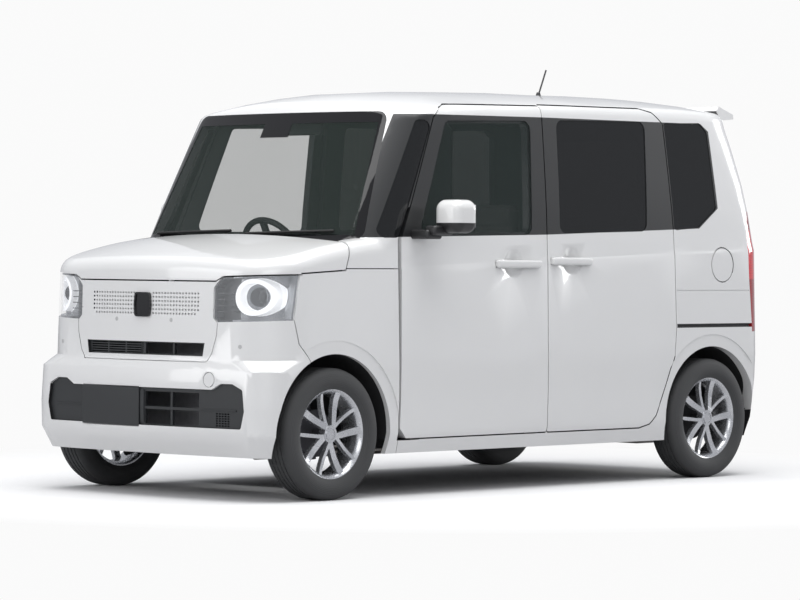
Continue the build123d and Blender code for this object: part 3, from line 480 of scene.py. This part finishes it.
dotSides = 10


def spreadTree(name, kind):
    # sets one small shape at even steps along every path it is given
    tree = bpy.data.node_groups.new(name, "GeometryNodeTree")
    face = tree.interface
    face.new_socket("Paths", in_out="INPUT", socket_type="NodeSocketGeometry")
    for label in ("Spacing", "Width", "Length", "Height"):
        face.new_socket(label, in_out="INPUT", socket_type="NodeSocketFloat")
    face.new_socket("Finish", in_out="INPUT", socket_type="NodeSocketMaterial")
    face.new_socket("Shapes", in_out="OUTPUT", socket_type="NodeSocketGeometry")
    add, link = tree.nodes.new, tree.links.new
    given, result = add("NodeGroupInput"), add("NodeGroupOutput")
    curve, steps = add("GeometryNodeMeshToCurve"), add("GeometryNodeResampleCurve")
    steps.mode = "LENGTH"
    link(given.outputs["Paths"], curve.inputs[0])
    link(curve.outputs[0], steps.inputs["Curve"])
    link(given.outputs["Spacing"], steps.inputs["Length"])
    if kind == "block":
        shape, size = add("GeometryNodeMeshCube"), add("ShaderNodeCombineXYZ")
        for axis, label in enumerate(("Width", "Length", "Height")):
            link(given.outputs[label], size.inputs[axis])
        link(size.outputs[0], shape.inputs["Size"])
    else:
        shape = add("GeometryNodeMeshCylinder")
        shape.inputs["Vertices"].default_value = dotSides
        link(given.outputs["Width"], shape.inputs["Radius"])
        link(given.outputs["Height"], shape.inputs["Depth"])
    place = add("GeometryNodeInstanceOnPoints")
    link(steps.outputs[0], place.inputs["Points"])
    link(shape.outputs[0], place.inputs["Instance"])
    if kind == "block":
        along, align = add("GeometryNodeInputTangent"), add("FunctionNodeAlignRotationToVector")
        align.axis = "Y"
        link(along.outputs[0], align.inputs["Vector"])
        link(align.outputs[0], place.inputs["Rotation"])
    real, dress = add("GeometryNodeRealizeInstances"), add("GeometryNodeSetMaterial")
    link(place.outputs[0], real.inputs[0])
    link(real.outputs[0], dress.inputs["Geometry"])
    link(given.outputs["Finish"], dress.inputs["Material"])
    link(dress.outputs[0], result.inputs[0])
    return tree


spreaders = {kind: spreadTree(kind + "Spread", kind) for kind in ("block", "dot")}


def spread(name, paths, kind, sizes, finish, body, slot):
    # runs a spreader over some paths and keeps the result as a plain mesh
    mesh = bpy.data.meshes.new(name + "Paths")
    points, edges = [], []
    for path in paths:
        first = len(points)
        points += [tuple(point) for point in path]
        edges += [(first + step, first + step + 1) for step in range(len(path) - 1)]
    mesh.from_pydata(points, edges, [])
    helper = bpy.data.objects.new(name + "Paths", mesh)
    bpy.context.scene.collection.objects.link(helper)
    modifier = helper.modifiers.new("spread", "NODES")
    modifier.node_group = spreaders[kind]
    for item in spreaders[kind].interface.items_tree:
        if item.in_out == "INPUT" and item.name in sizes:
            modifier[item.identifier] = sizes[item.name]
        if item.in_out == "INPUT" and item.name == "Finish":
            modifier[item.identifier] = finishes[finish]
    made = evaluated(helper, name)
    helper.modifiers.clear()
    bpy.data.objects.remove(helper)
    return plainObject(name, made, body, finish, slot)


def circlePath(centre, radius, x, count):
    # a closed ring round the wheel's axis, its last point on its first
    steps = [2 * math.pi * step / count for step in range(count + 1)]
    return [(x, centre[0] + radius * math.cos(turn), centre[1] + radius * math.sin(turn)) for turn in steps]


seatSpec = {
    "front_seats": {"pad": "frontSeatPads", "centres": (-0.345, 0.345), "half": 0.135, "rigid": 0.42,
                    "run": (-0.40, -0.02), "rise": (0.62, 1.06), "stand": -0.30},
    "rear_seat": {"pad": "rearSeatPad", "centres": (-0.24, 0.24), "half": 0.17, "rigid": 0.41,
                  "run": (0.80, 1.12), "rise": (0.64, 1.04), "stand": 0.86},
}
swellSpec = {"voxel": 0.012, "shrink": 0.009, "cap": 0.012, "pressure": 4.0, "tension": 12.0, "bending": 2.0,
             "quality": 5, "frames": 20}
channelSpec = {"width": 0.006, "depth": 0.007, "acrossShare": 0.8, "pitch": 0.085, "shift": 5.0,
               "before": 0.05, "behind": 0.03, "below": 0.60, "from": 0.47}
stitchSpec = {"beside": 0.012, "above": 0.75, "lift": 0.0004, "points": 40,
              "sizes": {"Spacing": 0.011, "Width": 0.0014, "Length": 0.006, "Height": 0.0012}}


def sealedCopy(nodeName):
    # one closed skin round a soft node, drawn in a little so that it can swell back
    work = bmesh.new()
    work.from_mesh(nodes[nodeName].data)
    bmesh.ops.remove_doubles(work, verts=work.verts, dist=weldGap)
    mesh = bpy.data.meshes.new(nodeName + "Start")
    work.to_mesh(mesh)
    work.free()
    helper = bpy.data.objects.new(nodeName + "Start", mesh)
    bpy.context.scene.collection.objects.link(helper)
    remesh = helper.modifiers.new("voxels", "REMESH")
    remesh.mode = "VOXEL"
    remesh.voxel_size = swellSpec["voxel"]
    closed = evaluated(helper, nodeName + "Closed")
    bpy.data.objects.remove(helper)
    inward = [vert.co - vert.normal * swellSpec["shrink"] for vert in closed.vertices]
    for vert, place in zip(closed.vertices, inward):
        vert.co = place
    return closed


def swell(mesh, rigid):
    # lets air pressure fill a closed skin above its rigid height, and stops each point at the cap
    scene = bpy.context.scene
    start = [vert.co.copy() for vert in mesh.vertices]
    pad = bpy.data.objects.new("swelling", mesh)
    scene.collection.objects.link(pad)
    held = pad.vertex_groups.new(name="held")
    held.add([vert.index for vert in mesh.vertices if vert.co.z < rigid], 1.0, "REPLACE")
    cloth = pad.modifiers.new("cloth", "CLOTH")
    settings = cloth.settings
    settings.quality = swellSpec["quality"]
    settings.vertex_group_mass = "held"
    settings.use_pressure = True
    settings.uniform_pressure_force = swellSpec["pressure"]
    settings.effector_weights.gravity = 0.0
    settings.tension_stiffness = swellSpec["tension"]
    settings.bending_stiffness = swellSpec["bending"]
    cloth.collision_settings.use_collision = False
    cloth.point_cache.frame_start = 1
    cloth.point_cache.frame_end = swellSpec["frames"]
    scene.frame_start, scene.frame_end = 1, swellSpec["frames"]
    for step in range(1, swellSpec["frames"] + 1):
        scene.frame_set(step)
    swollen = evaluated(pad, mesh.name + "Swollen")
    bpy.data.objects.remove(pad)
    scene.frame_set(1)
    for vert, first in zip(swollen.vertices, start):
        move = vert.co - first
        if move.length > swellSpec["cap"]:
            vert.co = first + move * (swellSpec["cap"] / move.length)
    return swollen


def channelDepth(place, spec):
    # how deep a sewn channel is at a point of a seat
    sewn = channelSpec
    across = min(abs(abs(place.x - centre) - spec["half"]) for centre in spec["centres"])
    depth = math.exp(-(across / sewn["width"]) ** 2)
    inside = min(abs(place.x - centre) for centre in spec["centres"]) < spec["half"]
    if inside:
        first, last = spec["run"][0] - sewn["before"], spec["run"][1] + sewn["behind"]
        onTop = first < place.y < last and place.z < sewn["below"]
        along = place.y if onTop else place.z
        nearest = abs((along + sewn["shift"]) % sewn["pitch"] - sewn["pitch"] / 2)
        depth = max(depth, sewn["acrossShare"] * math.exp(-(nearest / sewn["width"]) ** 2))
    return sewn["depth"] * depth if place.z > sewn["from"] else 0.0


def seamPaths(pad, spec):
    # two seams over the cushion and two up the back of each seat
    tree = surfaceOf(pad)
    count, lift = stitchSpec["points"], stitchSpec["lift"]
    low, high = spec["run"]
    bottom, top = spec["rise"]
    paths = []
    for centre in spec["centres"]:
        for side in (-1, 1):
            x = centre + side * (spec["half"] + stitchSpec["beside"])
            flat = [(x, low + (high - low) * step / count, stitchSpec["above"]) for step in range(count + 1)]
            paths.append(castLine(tree, flat, (0, 0, -1), lift))
            heights = [bottom + (top - bottom) * step / count for step in range(count + 1)]
            upright = [(x, spec["stand"], height) for height in heights]
            paths.append(castLine(tree, upright, (0, 1, 0), lift))
    return [path for path in paths if len(path) > 1]


def makePad(nodeName, spec):
    closed = sealedCopy(nodeName)
    closed = swell(closed, spec["rigid"])
    helper = bpy.data.objects.new(spec["pad"] + "Fine", closed)
    bpy.context.scene.collection.objects.link(helper)
    finer = helper.modifiers.new("finer", "SUBSURF")
    finer.levels = finer.render_levels = 1
    mesh = evaluated(helper, spec["pad"])
    bpy.data.objects.remove(helper)
    moved = [vert.co - vert.normal * channelDepth(vert.co, spec) for vert in mesh.vertices]
    for vert, place in zip(mesh.vertices, moved):
        vert.co = place
    mesh.polygons.foreach_set("use_smooth", [True] * len(mesh.polygons))
    pad = plainObject(spec["pad"], mesh, bodyOf[nodeName], "cloth")
    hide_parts(nodeName)
    spread(spec["pad"] + "Stitches", seamPaths(pad, spec), "block", stitchSpec["sizes"], "thread",
           bodyOf[nodeName], "seat_cloth")


for nodeName, spec in seatSpec.items():
    makePad(nodeName, spec)
print("stage: seats padded")


wheelSpec = {"front_left": (1, -1.2525), "front_right": (-1, -1.2525), "rear_left": (1, 1.2675),
             "rear_right": (-1, 1.2675)}
treadSpec = {"grooves": (-0.033, -0.011, 0.011, 0.033), "radius": 0.2745, "axle": 0.2785, "track": 0.6525,
             "points": 96, "sizes": {"Spacing": 0.0431, "Width": 0.0055, "Length": 0.009, "Height": 0.004}}


def makeWheelDetail(name, side, along):
    # small bridges across the grooves of the tread
    spec = treadSpec
    centre = (along, spec["axle"])
    places = [side * spec["track"] + offset for offset in spec["grooves"]]
    rings = [circlePath(centre, spec["radius"], place, spec["points"]) for place in places]
    spread("treadBridges_" + name, rings, "block", spec["sizes"], "rubber", bodyOf["tyre_" + name],
           "tyre_rubber")


for name, (side, along) in wheelSpec.items():
    makeWheelDetail(name, side, along)
print("stage: wheels detailed")


sensorSpec = {"spots": {"grille_panel": ((-0.170, 0.752), (0.170, 0.752)),
                        "front_bumper": ((-0.554, 0.647), (0.554, 0.647))},
              "from": -2.5, "radius": 0.0095, "taper": 0.9, "sides": 28, "height": 0.0016, "lift": 0.0002}


def discMesh(name, centre, normal):
    # a low round button facing along the normal
    spec = sensorSpec
    work = bmesh.new()
    turn = Vector(normal).to_track_quat("Z", "Y").to_matrix().to_4x4()
    turn.translation = Vector(centre)
    bmesh.ops.create_cone(work, cap_ends=True, segments=spec["sides"], radius1=spec["radius"],
                          radius2=spec["radius"] * spec["taper"], depth=spec["height"], matrix=turn)
    mesh = bpy.data.meshes.new(name)
    work.to_mesh(mesh)
    work.free()
    return mesh


def makeSensors():
    # the parking sensors, set on the face of the nose from in front
    for nodeName, spots in sensorSpec["spots"].items():
        tree = surfaceOf(nodes[nodeName])
        for count, (x, z) in enumerate(spots):
            place, normal, _, _ = tree.ray_cast(Vector((x, sensorSpec["from"], z)), Vector((0, 1, 0)))
            if place is None:
                continue
            mesh = discMesh("sensor", place + normal * sensorSpec["lift"], normal)
            plainObject(f"parkingSensor_{nodeName}_{count}", mesh, bodyOf[nodeName], "sensorFace",
                        "black_plastic")


mirrorSpec = {"low": (0.812, -0.5934, 1.152), "high": (0.922, -0.5922, 1.250)}


def makeMirrorGlass():
    # a thin mirror on the rear face of each door mirror
    low, high = mirrorSpec["low"], mirrorSpec["high"]
    for side, name in ((1, "left"), (-1, "right")):
        edges = sorted((side * low[0], side * high[0]))
        mesh = boxMesh("mirrorGlass", (edges[0], low[1], low[2]), (edges[1], high[1], high[2]))
        plainObject("mirrorGlass_" + name, mesh, bodyOf["door_mirror_" + name], "chrome", "steel")


dotSpec = {"rows": 3, "top": 1.598, "step": 0.010, "width": 1.0, "points": 60, "from": 0.5, "lift": 0.0004,
           "radius": 0.0034, "loss": 0.0009, "sizes": {"Spacing": 0.010, "Height": 0.0004}}


def makeScreenDots():
    # printed dots that fade out below the dark top band, on the inner face of the screen
    spec = dotSpec
    tree = surfaceOf(nodes["windscreen"])
    for row in range(spec["rows"]):
        height = spec["top"] - row * spec["step"]
        places = [spec["width"] * step / spec["points"] for step in range(spec["points"] + 1)]
        starts = [(place - spec["width"] / 2, spec["from"], height) for place in places]
        path = castLine(tree, starts, (0, -1, 0), spec["lift"])
        if len(path) > 1:
            sizes = {**spec["sizes"], "Width": spec["radius"] - row * spec["loss"]}
            spread(f"screenDots_{row}", [path], "dot", sizes, "fritPrint", bodyOf["windscreen"],
                   "black_plastic")


heaterSpec = {"from": 0.9, "low": 1.24, "rise": 0.32, "points": 30, "lift": 0.0012,
              "sizes": {"Spacing": 0.035, "Width": 0.96, "Length": 0.0012, "Height": 0.0008}}


def makeHeaterLines():
    # heating lines on the inner face of the tailgate glass
    spec = heaterSpec
    tree = surfaceOf(nodes["tailgate_glass"])
    heights = [spec["low"] + spec["rise"] * step / spec["points"] for step in range(spec["points"] + 1)]
    path = castLine(tree, [(0.0, spec["from"], height) for height in heights], (0, 1, 0), spec["lift"])
    if len(path) > 1:
        spread("heaterLines", [path], "block", spec["sizes"], "heaterPrint", bodyOf["tailgate_glass"],
               "black_plastic")


makeSensors()
makeMirrorGlass()
makeScreenDots()
makeHeaterLines()
print("stage: small pieces made")

cameraSpec = {"place": (11.58485, -12.31560, 1.04037), "yaw": 0.7572, "pitch": -0.0071, "roll": 0.0074,
              "focal": 3695.41, "centre": (404.53, 279.53), "picture": (800, 600), "sensor": 36.0}


def makeCamera(spec):
    # the photograph's own camera, as solved from the car in it
    yaw, pitch, roll = spec["yaw"], spec["pitch"], spec["roll"]
    forward = Vector((-math.sin(yaw) * math.cos(pitch), math.cos(yaw) * math.cos(pitch), math.sin(pitch)))
    level = Vector((math.cos(yaw), math.sin(yaw), 0.0))
    upright = level.cross(forward)
    right = level * math.cos(roll) + upright * math.sin(roll)
    up = -level * math.sin(roll) + upright * math.cos(roll)
    data = bpy.data.cameras.new("camera")
    width, height = spec["picture"]
    data.sensor_width = spec["sensor"]
    data.lens = spec["focal"] * spec["sensor"] / width
    data.shift_x = (width / 2 - spec["centre"][0]) / width
    data.shift_y = (spec["centre"][1] - height / 2) / width
    camera = bpy.data.objects.new("camera", data)
    bpy.context.scene.collection.objects.link(camera)
    turn = Matrix((right, up, -forward)).transposed().to_4x4()
    camera.matrix_world = Matrix.Translation(spec["place"]) @ turn
    bpy.context.scene.camera = camera


floorSpec = {"reach": 60.0, "clear": 1.6, "fade": 1.6, "matt": (0.82, 0.82, 0.82), "dull": (0.50, 0.50, 0.51),
             "white": (0.96, 0.96, 0.96)}


def makeFloor():
    # matt under the car and white far off in the picture, duller in what it throws back at the car
    spec = floorSpec
    reach = spec["reach"]
    mesh = bpy.data.meshes.new("floor")
    mesh.from_pydata([(-reach, -reach, 0), (reach, -reach, 0), (reach, reach, 0), (-reach, reach, 0)], [],
                     [(0, 1, 2, 3)])
    floor = bpy.data.objects.new("floor", mesh)
    bpy.context.scene.collection.objects.link(floor)
    sheet = Sheet("paleFloor")
    path = sheet.tree.nodes.new("ShaderNodeLightPath")
    straight, through = path.outputs["Is Camera Ray"], path.outputs["Is Transmission Ray"]
    seen = Signal(sheet, straight).orMore(Signal(sheet, through))
    distance = sheet.add("ShaderNodeVectorMath", {"operation": "LENGTH"}, {0: sheet.place()}, out="Value")
    fade = ((distance - spec["clear"]) / spec["fade"]).orMore(0.0).orLess(1.0)
    matt = sheet.add("ShaderNodeBsdfDiffuse", values={"Color": spec["matt"]})
    white = sheet.add("ShaderNodeEmission", values={"Color": spec["white"], "Strength": 1.0})
    shown = sheet.add("ShaderNodeMixShader", values={0: seen * fade, 1: matt, 2: white})
    dull = sheet.add("ShaderNodeBsdfDiffuse", values={"Color": spec["dull"]})
    mesh.materials.append(sheet.show(sheet.add("ShaderNodeMixShader", values={0: seen, 1: dull, 2: shown})))


worldSpec = {"dim": (0.50, 0.51, 0.54, 1), "bright": (0.96, 0.96, 0.96, 1)}


def makeWorld():
    # white behind the car, and a dimmer grey for the light it gives
    world = bpy.data.worlds.new("studioWorld")
    world.use_nodes = True
    bpy.context.scene.world = world
    tree = world.node_tree
    tree.nodes.clear()
    path = tree.nodes.new("ShaderNodeLightPath")
    highest = tree.nodes.new("ShaderNodeMath")
    highest.operation = "MAXIMUM"
    tree.links.new(path.outputs["Is Camera Ray"], highest.inputs[0])
    tree.links.new(path.outputs["Is Transmission Ray"], highest.inputs[1])
    dim = tree.nodes.new("ShaderNodeBackground")
    dim.inputs["Color"].default_value = worldSpec["dim"]
    bright = tree.nodes.new("ShaderNodeBackground")
    bright.inputs["Color"].default_value = worldSpec["bright"]
    mix = tree.nodes.new("ShaderNodeMixShader")
    tree.links.new(highest.outputs[0], mix.inputs[0])
    tree.links.new(dim.outputs[0], mix.inputs[1])
    tree.links.new(bright.outputs[0], mix.inputs[2])
    end = tree.nodes.new("ShaderNodeOutputWorld")
    tree.links.new(mix.outputs[0], end.inputs["Surface"])


lampSpec = {
    "overhead": {"place": (0.5, -0.5, 5.5), "aim": (0, 0, 0.8), "size": (6.0, 6.0), "power": 390.0},
    "leftFront": {"place": (5.5, -6.0, 3.2), "aim": (0, 0, 0.8), "size": (4.0, 3.0), "power": 88.0},
    "nose": {"place": (-2.5, -7.0, 2.6), "aim": (0, -1, 0.6), "size": (4.0, 3.0), "power": 92.0},
    "tail": {"place": (2.6, 8.6, 3.0), "aim": (0.5, 1.6, 1.0), "size": (3.2, 3.0), "power": 190.0},
}


def makeLamps(spec):
    for name, lamp in spec.items():
        data = bpy.data.lights.new(name, "AREA")
        data.shape = "RECTANGLE"
        data.size, data.size_y = lamp["size"]
        data.energy = lamp["power"]
        item = bpy.data.objects.new(name, data)
        bpy.context.scene.collection.objects.link(item)
        item.location = lamp["place"]
        aim = Vector(lamp["aim"]) - Vector(lamp["place"])
        item.rotation_euler = aim.to_track_quat("-Z", "Y").to_euler()


makeCamera(cameraSpec)
makeFloor()
makeWorld()
makeLamps(lampSpec)
bpy.context.scene.view_settings.view_transform = "Standard"
print("stage: studio set")
